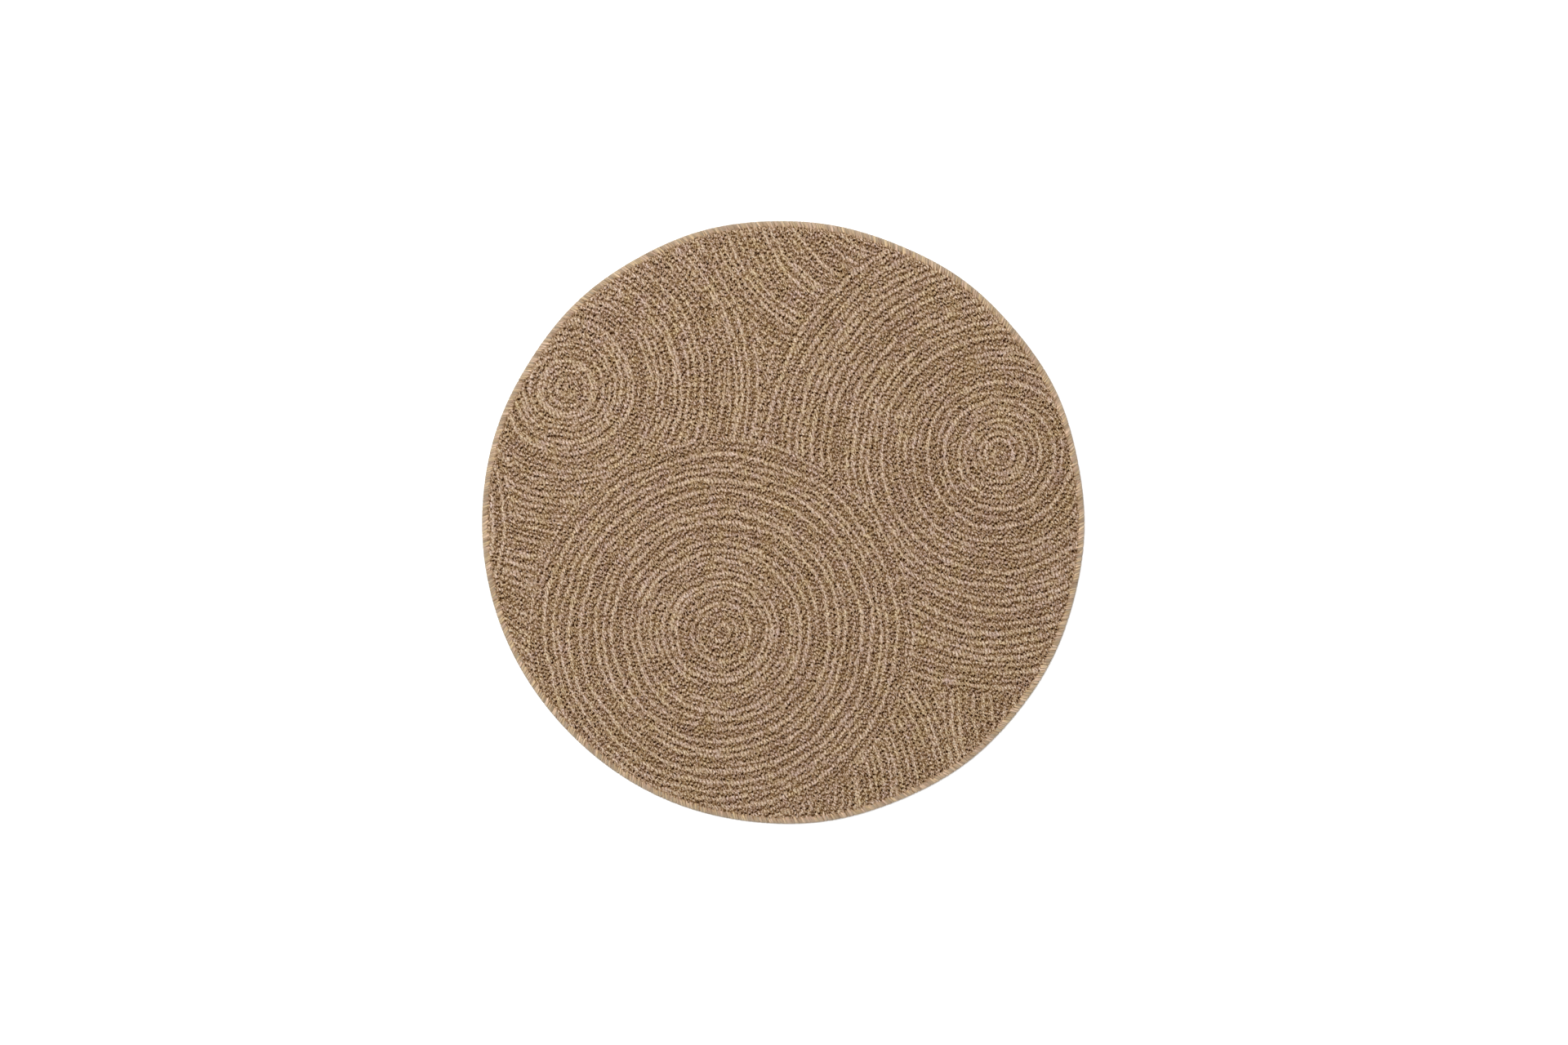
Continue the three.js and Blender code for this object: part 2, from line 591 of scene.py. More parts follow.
@dataclass(frozen=True)
class YarnCast:
    """The drift of the yarn over the rug from a pinkish cast (0) to a golden one (1)."""

    drifts: Swells = ((10.0, 0.05), (22.0, 0.11), (48.0, 0.12), (125.0, 0.06), (520.0, 0.04))
    seed: int = 32

    def at(self, places: np.ndarray) -> np.ndarray:
        """Read the cast at each place, given as one row of x, y."""
        cast = SmoothField(self.drifts, self.seed, HALFWAY)
        return cast.at(places[:, 0], places[:, 1]).clip(0, 1)


@dataclass(frozen=True)
class Loom:
    """The half-drop lattice of stitches: columns of the warp, every other one dropped by half.

    The spreads are how far by chance a stitch lies from its place along and across the column.
    """

    column_pitch: float = COLUMN_PITCH
    stitch_pitch: float = 9.21
    column_drop: float = 0.5
    spread_along: float = 1.85
    spread_across: float = 0.4
    seed: int = 5

    def warp(self) -> np.ndarray:
        """The way that the columns run, as x, y of a vector one long."""
        along = math.radians(COLUMN_BEARING_DEG)
        return np.array([math.cos(along), math.sin(along)])

    def places(self, radius: float) -> np.ndarray:
        """Lay the lattice out over a disc.

        Args:
            radius: how far out the stitches go.

        Returns:
            One row of x, y for each stitch.
        """
        warp = self.warp()
        across = np.array([-warp[1], warp[0]])
        reach = radius + self.stitch_pitch
        columns = np.arange(-int(reach / self.column_pitch), int(reach / self.column_pitch) + 1)
        picks = np.arange(-int(reach / self.stitch_pitch), int(reach / self.stitch_pitch) + 1)
        column, pick = np.meshgrid(columns, picks, indexing="ij")
        drop = self.column_drop * (column % 2)
        places = (
            column.reshape(-1, 1) * self.column_pitch * across
            + (pick + drop).reshape(-1, 1) * self.stitch_pitch * warp
        )
        random = np.random.default_rng(self.seed)
        places = places + random.normal(0, self.spread_along, (len(places), 1)) * warp
        places = places + random.normal(0, self.spread_across, (len(places), 1)) * across
        return places[np.hypot(places[:, 0], places[:, 1]) < radius]

    def half_pick(self) -> np.ndarray:
        """The step of half a stitch along a column."""
        return self.stitch_pitch / 2 * self.warp()


@dataclass(frozen=True)
class StitchForm:
    """The form of a stitch that is one unit long, wide and high, lying along X.

    Each station is a place along it and its girth there. The section is its outline across,
    from one foot over the top to the other, and a flat underside closes it.
    """

    stations: tuple[tuple[float, float], ...]
    section: tuple[tuple[float, float], ...]
    tip: float = 0.5
    tip_height: float = 0.15

    def build(self, name: str) -> bpy.types.Object:
        """Make the stitch.

        Args:
            name: its name.

        Returns:
            The stitch, hidden from view.
        """
        points = [(-self.tip, 0.0, self.tip_height)]
        for at, girth in self.stations:
            points += [(at, y * girth, z * girth) for y, z in self.section]
        points.append((self.tip, 0.0, self.tip_height))
        size = len(self.section)
        last = len(points) - 1
        faces: list[tuple[int, ...]] = []
        for i in range(size):
            j = (i + 1) % size
            faces.append((0, 1 + j, 1 + i))
            for k in range(len(self.stations) - 1):
                a = 1 + k * size
                faces.append((a + i, a + j, a + size + j, a + size + i))
            b = last - size
            faces.append((b + i, b + j, last))
        thing = mesh_object(name, np.array(points) / MM, faces)
        thing.hide_render = True
        return thing


class StitchShape(Enum):
    """The kinds of stitch in the face: a long rounded float, or a flatter crosswise pick."""

    FLOAT = StitchForm(
        stations=((-0.34, 0.86), (0.0, 1.0), (0.34, 0.86)),
        section=((0.5, 0.0), (0.27, 0.85), (-0.27, 0.85), (-0.5, 0.0)),
    )
    PICK = StitchForm(
        stations=((-0.22, 1.0), (0.22, 1.0)),
        section=((0.5, 0.0), (0.0, 1.0), (-0.5, 0.0)),
    )


def stitch_tree() -> bpy.types.NodeTree:
    """Build the node tree that lays a stitch on each point, turned and stretched as it says.

    Returns:
        The tree, with named inputs for the stitch, its sizes, its stray turn and its finish.
    """
    tree = bpy.data.node_groups.new("lay_stitches", "GeometryNodeTree")
    for name, kind in (
        ("Geometry", "Geometry"),
        ("Stitch", "Object"),
        ("Length", "Float"),
        ("Width", "Float"),
        ("Height", "Float"),
        ("Turn Spread", "Float"),
        ("Seed", "Int"),
        ("Finish", "Material"),
    ):
        tree.interface.new_socket(name, in_out="INPUT", socket_type="NodeSocket" + kind)
    tree.interface.new_socket("Geometry", in_out="OUTPUT", socket_type="NodeSocketGeometry")
    given = add_node(tree, "NodeGroupInput").outputs
    stitch = add_node(
        tree, "GeometryNodeObjectInfo", {"Object": given["Stitch"]}, transform_space="ORIGINAL"
    )
    own = {
        name: add_node(
            tree, "GeometryNodeInputNamedAttribute", {"Name": name}, data_type="FLOAT"
        ).outputs["Attribute"]
        for name in ("turn", "stretch", "girth", "swell")
    }
    # The stray turn goes from minus to plus the spread. Inputs 2 and 3 are the least and most.
    stray = add_node(
        tree, "FunctionNodeRandomValue", {2: -1.0, 3: 1.0, 8: given["Seed"]}, data_type="FLOAT"
    )
    swing = add_node(
        tree,
        "ShaderNodeMath",
        {0: stray.outputs[1], 1: given["Turn Spread"]},
        operation="MULTIPLY",
    )
    turn = add_node(tree, "ShaderNodeMath", {0: own["turn"], 1: swing.outputs[0]}, operation="ADD")
    rotation = add_node(tree, "ShaderNodeCombineXYZ", {"Z": turn.outputs[0]})
    scale = [
        add_node(tree, "ShaderNodeMath", {0: given[size], 1: own[name]}, operation="MULTIPLY")
        for size, name in (("Length", "stretch"), ("Width", "girth"), ("Height", "swell"))
    ]
    sizes = add_node(tree, "ShaderNodeCombineXYZ", {i: s.outputs[0] for i, s in enumerate(scale)})
    laid = add_node(
        tree,
        "GeometryNodeInstanceOnPoints",
        {
            "Points": given["Geometry"],
            "Instance": stitch.outputs["Geometry"],
            "Rotation": rotation.outputs[0],
            "Scale": sizes.outputs[0],
        },
    )
    real = add_node(tree, "GeometryNodeRealizeInstances", {"Geometry": laid.outputs[0]})
    dressed = add_node(
        tree,
        "GeometryNodeSetMaterial",
        {"Geometry": real.outputs[0], "Material": given["Finish"]},
    )
    add_node(tree, "NodeGroupOutput", {"Geometry": dressed.outputs[0]})
    return tree


@dataclass
class StitchMaker:
    """Sews a stitch onto each of many points, with the node tree that all the yarn shares."""

    tree: bpy.types.NodeTree = field(default_factory=stitch_tree)

    def sew(
        self,
        name: str,
        places: np.ndarray,
        numbers: dict[str, np.ndarray],
        inputs: dict[str, object],
    ) -> bpy.types.Object:
        """Run the tree over points and keep the result as a plain mesh.

        Args:
            name: the piece's name.
            places: one row of x, y, z for each point.
            numbers: for each attribute's name, a number for each point.
            inputs: for each of the tree's named inputs, its value.

        Returns:
            The piece, with nothing live on it.
        """
        source = mesh_object(name + "_points", places, [])
        write_numbers(source, numbers)
        modifier = source.modifiers.new("lay", "NODES")
        modifier.node_group = self.tree
        for item in self.tree.interface.items_tree:
            if item.in_out == "INPUT" and item.name in inputs:
                modifier[item.identifier] = inputs[item.name]
        evaluated = source.evaluated_get(bpy.context.evaluated_depsgraph_get())
        mesh = bpy.data.meshes.new_from_object(evaluated)
        mesh.name = name
        bpy.data.objects.remove(source)
        piece = bpy.data.objects.new(name, mesh)
        bpy.context.scene.collection.objects.link(piece)
        return piece


@dataclass(frozen=True)
class Textile:
    """What every yarn surface here shares: it is rough, it hardly shines, and it has a relief.

    The relief is the strength of the bump, and the depth is that of its fibres or threads.
    """

    roughness: float
    gloss: float
    relief: float
    depth: float

    def surface(
        self, tree: bpy.types.NodeTree, colour: bpy.types.NodeSocket, height: bpy.types.NodeSocket
    ) -> None:
        """End a material with its shader.

        Args:
            tree: the material's node tree.
            colour: its colour.
            height: how high each place stands, from nought to one.
        """
        relief = add_node(
            tree,
            "ShaderNodeBump",
            {"Height": height, "Strength": self.relief, "Distance": self.depth * MM},
        )
        shader = add_node(
            tree,
            "ShaderNodeBsdfPrincipled",
            {
                "Base Color": colour,
                "Roughness": self.roughness,
                "Normal": relief.outputs[0],
                "Specular IOR Level": self.gloss,
            },
        )
        add_node(tree, "ShaderNodeOutputMaterial", {"Surface": shader.outputs[0]})


@dataclass(frozen=True)
class Heather(Textile):
    """A textile whose yarn has a tone, on a ramp of colours, and a cast from pink to gold."""

    tones: Stops
    pinkish: str
    golden: str

    def colour(
        self, tree: bpy.types.NodeTree, tone: bpy.types.NodeSocket
    ) -> bpy.types.NodeSocket:
        """Turn a tone into a colour, tinted by each stitch's own warmth.

        Args:
            tree: the material's node tree.
            tone: the place on the ramp.

        Returns:
            The colour.
        """
        ramp = add_node(tree, "ShaderNodeValToRGB", {0: tone})
        elements = ramp.color_ramp.elements
        while len(elements) < len(self.tones):
            elements.new(HALFWAY)
        for element, (at, code) in zip(elements, self.tones):
            element.position = at
            element.color = srgb(code)
        warmth = add_node(tree, "ShaderNodeAttribute", attribute_name="warmth")
        # In a colour mix, inputs 0, 6 and 7 are the share and the two colours, and output 2 is
        # the mixed colour.
        cast = add_node(
            tree,
            "ShaderNodeMix",
            {0: warmth.outputs["Fac"], 6: srgb(self.pinkish), 7: srgb(self.golden)},
            data_type="RGBA",
        )
        tinted = add_node(
            tree,
            "ShaderNodeMix",
            {0: 1.0, 6: ramp.outputs[0], 7: cast.outputs[2]},
            data_type="RGBA",
            blend_type="MULTIPLY",
        )
        return tinted.outputs[2]


@dataclass(frozen=True)
class FaceYarn(Heather):
    """Heathered synthetic sisal-look yarn: many tans in one thread, dull, faintly fibrous."""

    # To the eye it is a mid tan from afar that breaks up into short light and dark flecks close
    # by, with no shine. Its real fibres are about 0.1 mm thick, too fine to show, so the flecks
    # are drawn 1.7 mm wide, about a pixel of the photograph.
    tones: Stops = (
        (0.0, "#260f00"),
        (0.25, "#745538"),
        (0.5, "#9c8571"),
        (0.75, "#c3b1a2"),
        (1.0, "#dccbbe"),
    )
    pinkish: str = "#fffaff"
    golden: str = "#fffde2"
    fibre_sizes: tuple[float, float, float] = (3.4, 1.7, 1.7)
    fibre_bearing_deg: float = -60.0
    # How strongly the fibres mottle a stitch's tone.
    fleck: float = 1.9
    roughness: float = 0.75
    gloss: float = 0.03
    relief: float = 0.4
    depth: float = 0.3

    def material(self) -> bpy.types.Material:
        """Build the material: a tone for each stitch, and fine slanted fibres on it.

        Returns:
            The material.
        """
        material, tree = new_material("heathered_sisal_look_yarn")
        tone = add_node(tree, "ShaderNodeAttribute", attribute_name="tone")
        fibres = slanted_fibres(tree, self.fibre_bearing_deg, self.fibre_sizes)
        fleck = add_node(
            tree,
            "ShaderNodeMath",
            {0: fibres, 1: self.fleck, 2: 1 - self.fleck / 2},
            operation="MULTIPLY_ADD",
        )
        mixed = add_node(
            tree,
            "ShaderNodeMath",
            {0: tone.outputs["Fac"], 1: fleck.outputs[0]},
            operation="MULTIPLY",
        )
        self.surface(tree, self.colour(tree, mixed.outputs[0]), fibres)
        return material


@dataclass(frozen=True)
class GroundWeave(Heather):
    """Brown ground of the weave: close, matt, slanted threads from dark brown to tan."""

    # To the eye it is the brown that the stitches stand on, a little lighter under a light row, and
    # lighter along each column and darker between the columns as painted light and shade. Its real
    # threads are about 1 mm wide, too fine to show, so they are drawn 1.8 mm wide. It is flat, so
    # its threads need no depth.
    tones: Stops = ((0.38, "#3b2207"), (0.5, "#7b5f45"), (0.62, "#b49d89"), (0.74, "#d2bda9"))
    pinkish: str = "#fffaff"
    golden: str = "#fffde2"
    thread_sizes: tuple[float, float, float] = (4.2, 1.8, 1000.0)
    thread_bearing_deg: float = -60.0
    # How far a light row and the whole ground move it along the ramp, and how far the painted light
    # and shade across the columns does: lighter on the crest of each column, darker between them.
    row_lift: float = 0.04
    lift_base: float = -0.003
    column_light_and_shade: float = 0.015
    roughness: float = 0.9
    gloss: float = 0.1
    relief: float = 0.6
    depth: float = 0.5

    def material(self) -> bpy.types.Material:
        """Build the material: short slanted threads, each its own brown, with painted light and
        shade across the columns.

        Returns:
            The material.
        """
        material, tree = new_material("brown_ground_weave")
        threads = slanted_fibres(tree, self.thread_bearing_deg, self.thread_sizes)
        # Painted light and shade: lighter along the middle of each column, darker between the
        # columns.
        across = phase_across(tree, COLUMN_BEARING_DEG + 90.0, COLUMN_PITCH)
        columns = add_node(tree, "ShaderNodeMath", {0: across}, operation="COSINE")
        column_shade_and_base = add_node(
            tree,
            "ShaderNodeMath",
            {0: columns.outputs[0], 1: self.column_light_and_shade, 2: self.lift_base},
            operation="MULTIPLY_ADD",
        )
        light = add_node(tree, "ShaderNodeAttribute", attribute_name="light")
        lift = add_node(
            tree,
            "ShaderNodeMath",
            {0: light.outputs["Fac"], 1: self.row_lift, 2: column_shade_and_base.outputs[0]},
            operation="MULTIPLY_ADD",
        )
        tone = add_node(tree, "ShaderNodeMath", {0: threads, 1: lift.outputs[0]}, operation="ADD")
        self.surface(tree, self.colour(tree, tone.outputs[0]), threads)
        return material


@dataclass(frozen=True)
class WeaveBack(Textile):
    """Flat back of the weave: pale plain threads that cross at right angles, quite matt."""

    # To the eye it is an even grid of small pale blocks with darker gaps. Its real threads lie
    # about 1.6 mm apart, too close to show, so they are drawn twice as far apart.
    gap: str = "#5d4a36"
    thread: str = "#dcc3a8"
    thread_pitch: float = 3.2
    heather_size: float = 6.0
    roughness: float = 0.95
    gloss: float = 0.1
    relief: float = 0.7
    depth: float = 0.5

    def material(self) -> bpy.types.Material:
        """Build the material: warp over weft over warp, each crossing a small pale block.

        Returns:
            The material.
        """
        material, tree = new_material("plain_weave_back")
        waves = []
        for turn in (0.0, 90.0):
            phase = phase_across(tree, COLUMN_BEARING_DEG + turn, 2 * self.thread_pitch)
            waves.append(add_node(tree, "ShaderNodeMath", {0: phase}, operation="SINE"))
        crossing = add_node(
            tree,
            "ShaderNodeMath",
            {0: waves[0].outputs[0], 1: waves[1].outputs[0]},
            operation="MULTIPLY",
        )
        raised = add_node(
            tree, "ShaderNodeMath", {0: crossing.outputs[0]}, operation="ABSOLUTE"
        ).outputs[0]
        place = add_node(tree, "ShaderNodeTexCoord")
        heather = add_node(
            tree,
            "ShaderNodeTexNoise",
            {"Vector": place.outputs["Object"], "Scale": 1 / (self.heather_size * MM)},
        )
        toned = add_node(
            tree, "ShaderNodeMath", {0: raised, 1: heather.outputs[0]}, operation="MULTIPLY"
        )
        colour = add_node(
            tree,
            "ShaderNodeMix",
            {0: toned.outputs[0], 6: srgb(self.gap), 7: srgb(self.thread)},
            data_type="RGBA",
        )
        self.surface(tree, colour.outputs[2], raised)
        return material


@dataclass(frozen=True)
class EdgeYarn(Heather):
    """Soft tan binding yarn: near the face in tone, and greyed by painted shade where it rolls over
    the rim.
    """

    # To the eye it is a row of soft slanted strands, each its own tan, with a faint twist. One
    # turn of the real twist takes about 6 mm, and at this scale five lie along a strand.
    tones: Stops = ((0.0, "#80664c"), (0.5, "#b3997f"), (1.0, "#dfc5aa"))
    pinkish: str = "#fff6fa"
    golden: str = "#fffbe2"
    # The painted shade where the yarn rolls over the rim: its grey, its fullest share, and the
    # shares of a strand's way from the face to the back at which it starts and ends.
    rim_shade_grey: str = "#a89f8c"
    rim_shade_share: float = 0.55
    rim_shade_from: float = 0.12
    rim_shade_to: float = 0.45
    twist_scale: float = 3.0
    twist_fray: float = 3.0
    twist_detail: float = 2.0
    fleck: float = 0.3
    roughness: float = 0.8
    gloss: float = 0.25
    relief: float = 0.6
    depth: float = 0.4

    def material(self) -> bpy.types.Material:
        """Build the material: a tone for each strand, twisted fibres, and painted shade over the
        rim.

        Returns:
            The material.
        """
        material, tree = new_material("tan_binding_yarn")
        tone = add_node(tree, "ShaderNodeAttribute", attribute_name="tone")
        uv = add_node(tree, "ShaderNodeUVMap", uv_map="UVMap")
        twist = add_node(
            tree,
            "ShaderNodeTexWave",
            {
                "Vector": uv.outputs[0],
                "Scale": self.twist_scale,
                "Distortion": self.twist_fray,
                "Detail": self.twist_detail,
                "Detail Scale": self.twist_detail,
            },
            bands_direction="DIAGONAL",
        ).outputs["Fac"]
        fleck = add_node(
            tree,
            "ShaderNodeMath",
            {0: twist, 1: self.fleck, 2: -self.fleck / 2},
            operation="MULTIPLY_ADD",
        )
        mixed = add_node(
            tree, "ShaderNodeMath", {0: tone.outputs["Fac"], 1: fleck.outputs[0]}, operation="ADD"
        )
        along = add_node(tree, "ShaderNodeSeparateXYZ", {0: uv.outputs[0]})
        # Painted shade: greyer towards the rim over the top, and at its greyest round the rim and
        # below.
        rim_shade = add_node(
            tree,
            "ShaderNodeMapRange",
            {
                "Value": along.outputs[0],
                "From Min": self.rim_shade_from,
                "From Max": self.rim_shade_to,
                "To Max": self.rim_shade_share,
            },
        )
        unshaded = self.colour(tree, mixed.outputs[0])
        colour = add_node(
            tree,
            "ShaderNodeMix",
            {0: rim_shade.outputs[0], 6: unshaded, 7: srgb(self.rim_shade_grey)},
            data_type="RGBA",
        )
        self.surface(tree, colour.outputs[2], twist)
        return material


@dataclass
class WovenCloth:
    """The cloth itself: a thin disc, pressed thinner where the edge is sewn on.

    Its face is fine enough to carry how light the weave is at each point.
    """

    rim: Rim
    pattern: RingPattern
    cast: YarnCast
    ground_height: float = 4.3
    pressed_bottom: float = 1.5
    pressed_top: float = 4.3
    inner_gap: float = 0.3
    edge_wall: float = 1.5
    back_step: float = 50.0
    face_step: float = 4.2
    segments: int = 240
    # How light the cloth is below and at the rim, where the pattern doesn't show.
    hidden_light: float = 0.2

    @property
    def cut_radius(self) -> float:
        """The mean radius to which the cloth was cut."""
        return self.rim.radius - self.edge_wall

    def profile(self, seam: float) -> list[tuple[float, float]]:
        """Draw the underside and the pressed rim, from the middle to the face at the seam.

        Args:
            seam: the radius at which the edge begins.

        Returns:
            Radius and height of each corner.
        """
        steps = np.arange(self.back_step, seam - self.back_step / 2, self.back_step).tolist()
        return [
            (0.0, 0.0),
            *((radius, 0.0) for radius in steps),
            (seam, 0.0),
            (seam, self.pressed_bottom),
            (self.cut_radius, self.pressed_bottom),
            (self.cut_radius, self.pressed_top),
            (seam, self.ground_height),
        ]

    def face_rings(self, seam: float, first: int) -> tuple[np.ndarray, list[list[int]]]:
        """Lay rings of points over the face, from the middle to just inside the seam.

        Args:
            seam: the radius at which the edge begins.
            first: the number of the first point.

        Returns:
            One row of x, y for each point, and the point numbers of each ring.
        """
        places = [np.zeros((1, 2))]
        rings = [[first]]
        for radius in np.arange(self.face_step, seam - self.face_step / 2, self.face_step):
            count = round(FULL_TURN * radius / self.face_step)
            angle = FULL_TURN * np.arange(count) / count
            start = rings[-1][-1] + 1
            rings.append(list(range(start, start + count)))
            places.append(radius * np.column_stack([np.cos(angle), np.sin(angle)]))
        return np.vstack(places), rings

    def build(self, ground: bpy.types.Material, back: bpy.types.Material) -> bpy.types.Object:
        """Make the cloth.

        Args:
            ground: the ground weave of the face.
            back: the back of the weave.

        Returns:
            The cloth as one closed sheet.
        """
        seam = self.rim.radius - EDGE_WIDTH - self.inner_gap
        points, faces = self.rim.turned(self.profile(seam), self.segments)
        seam_ring = list(range(len(points) - self.segments, len(points)))
        flat, rings = self.face_rings(seam, len(points))
        for inner, outer in zip(rings, [*rings[1:], seam_ring]):
            faces.extend(band_between(inner, outer))
        top = self.rim.follow(np.column_stack([flat, np.full(len(flat), self.ground_height)]))
        cloth = mesh_object("woven_cloth", np.vstack([points, top]), faces, smooth=False)
        unseen = np.ones(len(points))
        light = self.pattern.lightness(flat[:, 0], flat[:, 1])
        write_numbers(
            cloth,
            {
                "light": np.concatenate([self.hidden_light * unseen, light]),
                "warmth": np.concatenate([HALFWAY * unseen, self.cast.at(flat)]),
            },
        )
        cloth.data.materials.append(ground)
        cloth.data.materials.append(back)
        for face in cloth.data.polygons:
            face.material_index = int(face.center.z < self.pressed_bottom / 2 * MM)
        return cloth


@dataclass(frozen=True)
class Spread:
    """A number that varies by chance about a middle, within limits."""

    middle: float
    spread: float
    least: float = -math.inf
    most: float = math.inf

    def draw(self, random: np.random.Generator, count: int) -> np.ndarray:
        """Draw so many numbers."""
        return random.normal(self.middle, self.spread, count).clip(self.least, self.most)


@dataclass(frozen=True)
class YarnLayer:
    """One kind of stitch in the face: its shape, its sizes and how it lies to the columns.

    The pull is how far a stitch is drawn towards a light row, or from it where negative.
    """

    shape: StitchShape
    length: float
    width: float
    height: float
    slant_deg: float
    turn_spread_deg: float
    pull: float
    seed: int


@dataclass(frozen=True)
class Floats(YarnLayer):
    """The long stitches: full and close in a light row, short and thin between the rows."""

    shape: StitchShape = StitchShape.FLOAT
    length: float = 6.2
    width: float = 2.4
    height: float = 1.15
    slant_deg: float = 12.0
    turn_spread_deg: float = 16.0
    pull: float = 1.3
    seed: int = 23
    # The chance in a stitch's lightness, where it starts to fill out, and over how much more
    # it becomes full.
    light: Spread = Spread(0.0, 0.1)
    full_from: float = 0.15
    full_over: float = 0.5
    # A few stitches are of darker yarn.
    tone: Spread = Spread(0.0, 0.055)
    base_tone: float = 0.625
    row_tone: float = 0.2
    dark_share: float = 0.07
    dark_drop: float = 0.2
    stretch: Spread = Spread(1.0, 0.05)
    shortest: float = 0.92
    girth: Spread = Spread(1.0, 0.08, 0.8, 1.2)
    thinnest: float = 0.78
    girth_gain: float = 0.36
    swell: Spread = Spread(1.0, 0.08, 0.8, 1.2)
    swell_gain: float = 0.25

    def numbers(self, light: np.ndarray) -> dict[str, np.ndarray]:
        """Work out the stitches.

        Args:
            light: how light the weave is at each.

        Returns:
            For each attribute's name, a number for each stitch.
        """
        random = np.random.default_rng(self.seed)
        count = len(light)
        full = (light + self.light.draw(random, count) - self.full_from) / self.full_over
        full = full.clip(0, 1)
        tone = self.base_tone + self.row_tone * light + self.tone.draw(random, count)
        tone -= np.where(random.uniform(size=count) < self.dark_share, self.dark_drop, 0.0)
        length = self.shortest + (1 - self.shortest) * full
        return {
            "stretch": length * self.stretch.draw(random, count),
            "girth": self.girth.draw(random, count) * (self.thinnest + self.girth_gain * full),
            "swell": self.swell.draw(random, count) + self.swell_gain * light,
            "tone": tone.clip(0, 1),
        }


@dataclass(frozen=True)
class Picks(YarnLayer):
    """The flat crosswise picks: nearly black between the rows, tan and full in a light row."""

    shape: StitchShape = StitchShape.PICK
    length: float = 6.2
    width: float = 4.2
    height: float = 0.95
    slant_deg: float = 116.0
    turn_spread_deg: float = 34.0
    pull: float = -0.6
    seed: int = 24
    # The chance in a pick's lightness, up to where it is dark, from where it is tan, and how
    # tan a stray pick is between the rows.
    light: Spread = Spread(0.0, 0.1)
    dark_until: float = 0.42
    tan_from: float = 0.8
    stray: Spread = Spread(0.0, 0.17)
    stretch: Spread = Spread(1.0, 0.12, 0.75, 1.3)
    shortest: float = 0.85
    stretch_gain: float = 0.15
    girth: Spread = Spread(1.0, 0.18, 0.6, 1.45)
    thinnest: float = 0.9
    girth_gain: float = 0.3
    swell_gain: float = 0.5
    tone: Spread = Spread(0.0, 0.06)
    tan_tone: float = 0.66

    def numbers(self, light: np.ndarray) -> dict[str, np.ndarray]:
        """Work out the picks.

        Args:
            light: how light the weave is at each.

        Returns:
            For each attribute's name, a number for each pick.
        """
        random = np.random.default_rng(self.seed)
        count = len(light)
        light = light + self.light.draw(random, count)
        step = ((light - self.dark_until) / (self.tan_from - self.dark_until)).clip(0, 1)
        # A smooth step, which starts and ends gently.
        tan = step * step * (3 - 2 * step)
        tan = np.maximum(tan, np.abs(self.stray.draw(random, count)))
        length = self.shortest + self.stretch_gain * tan
        return {
            "stretch": self.stretch.draw(random, count) * length,
            "girth": self.girth.draw(random, count) * (self.thinnest + self.girth_gain * tan),
            "swell": 1.0 + self.swell_gain * tan,
            "tone": (self.tan_tone * tan + self.tone.draw(random, count)).clip(0, 1),
        }


class Quarter(Enum):
    """The quarters of the face, with the side of the middle that each lies on."""

    RIGHT_FAR = (1, 1)
    LEFT_FAR = (-1, 1)
    LEFT_NEAR = (-1, -1)
    RIGHT_NEAR = (1, -1)


@dataclass
class WovenFace:
    """The face of the cloth: all its stitches, in four quarters."""

    rim: Rim
    pattern: RingPattern
    cast: YarnCast
    loom: Loom
    maker: StitchMaker
    # The stitches stand a little in the ground, and end this far in from the rim.
    ground_height: float = 4.25
    margin: float = 13.0
    floats: Floats = Floats()
    picks: Picks = Picks()
    turn_seed: int = 23

    def build(self, finish: bpy.types.Material) -> list[bpy.types.Object]:
        """Lay the stitches, quarter by quarter.

        Args:
            finish: the face yarn.

        Returns:
            One piece for each quarter.
        """
        reach = self.rim.radius - self.margin
        places = self.loom.places(reach)
        between = places + self.loom.half_pick()
        between = between[np.hypot(between[:, 0], between[:, 1]) < reach]
        layers = []
        for layer, spots in ((self.floats, places), (self.picks, between)):
            numbers = layer.numbers(self.pattern.lightness(spots[:, 0], spots[:, 1]))
            numbers["warmth"] = self.cast.at(spots)
            bearing = math.radians(COLUMN_BEARING_DEG + layer.slant_deg)
            numbers["turn"] = np.full(len(spots), bearing)
            stitch = layer.shape.value.build("stitch_" + layer.shape.name.lower())
            layers.append((layer, stitch, self.pattern.drawn(spots, layer.pull), numbers))
        pieces = []
        for quarter in Quarter:
            name = "face_stitches_" + quarter.name.lower()
            laid = [self.sewn(name, quarter, finish, *layer) for layer in layers]
            pieces.append(joined(name, laid))
        for _, stitch, _, _ in layers:
            bpy.data.objects.remove(stitch)
        return pieces

    def sewn(
        self,
        name: str,
        quarter: Quarter,
        finish: bpy.types.Material,
        layer: YarnLayer,
        stitch: bpy.types.Object,
        spots: np.ndarray,
        numbers: dict[str, np.ndarray],
    ) -> bpy.types.Object:
        """Sew one layer's stitches in one quarter.

        Args:
            name: the name of the quarter's piece.
            quarter: which quarter.
            finish: the face yarn.
            layer: the layer's sizes.
            stitch: the layer's one stitch.
            spots: one row of x, y for each of the layer's stitches.
            numbers: for each attribute's name, a number for each of them.

        Returns:
            The stitches as a plain mesh.
        """
        side_x, side_y = quarter.value
        here = (spots[:, 0] * side_x >= 0) & (spots[:, 1] * side_y >= 0)
        points = np.column_stack([spots[here], np.full(here.sum(), self.ground_height)])
        inputs = {
            "Stitch": stitch,
            "Length": layer.length * MM,
            "Width": layer.width * MM,
            "Height": layer.height * MM,
            "Turn Spread": math.radians(layer.turn_spread_deg),
            "Seed": self.turn_seed,
            "Finish": finish,
        }
        own = {key: values[here] for key, values in numbers.items()}
        part = name + "_" + layer.shape.name.lower()
        return self.maker.sew(part, self.rim.follow(points), own, inputs)


@dataclass(frozen=True)
class WayPoint:
    """One point on a strand's way: how far in from the rim, how high, and its share of the lean."""

    inset: float
    height: float
    lean: float


